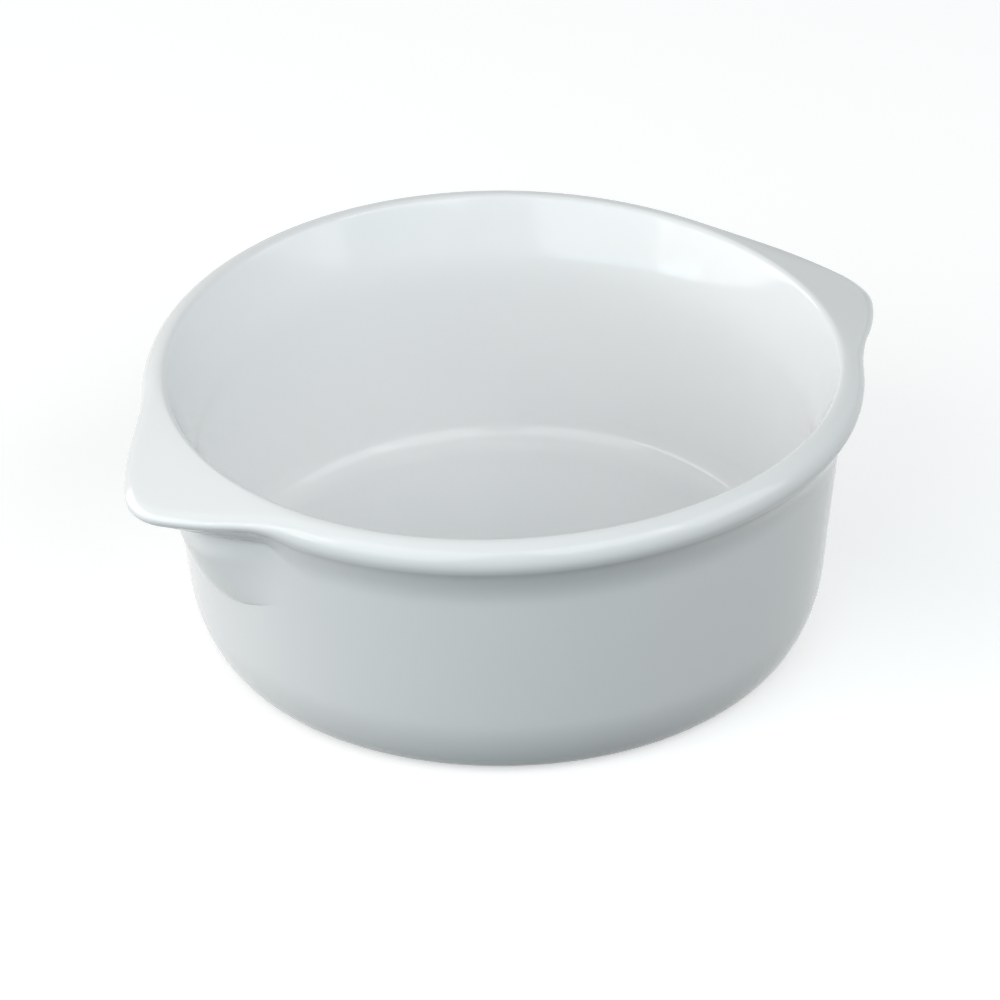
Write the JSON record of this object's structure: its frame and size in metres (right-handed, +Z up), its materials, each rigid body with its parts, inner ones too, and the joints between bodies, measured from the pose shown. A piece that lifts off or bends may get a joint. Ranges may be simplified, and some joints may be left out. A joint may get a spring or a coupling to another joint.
{
  "type": "mini casserole dish",
  "caption": "Small round porcelain oven dish with a rolled rim, flared inside, foot ring and drooping lug handles on corbels at opposite sides.",
  "frame": {"origin": "on the table, under the middle of the bowl", "axes": "+Z up along the bowl's axis, +X through the right lug, +Y across between the lugs"},
  "size_m": [0.151, 0.13, 0.0541],
  "materials": {
    "bowl_glaze": "clear gloss glaze on cool white porcelain, bare on the foot ring",
    "lug_glaze": "clear gloss glaze on cool white porcelain"
  },
  "bodies": {
    "root": {"bowl": "bowl_glaze", "lug_left": "lug_glaze", "lug_right": "lug_glaze"}
  },
  "joints": []
}
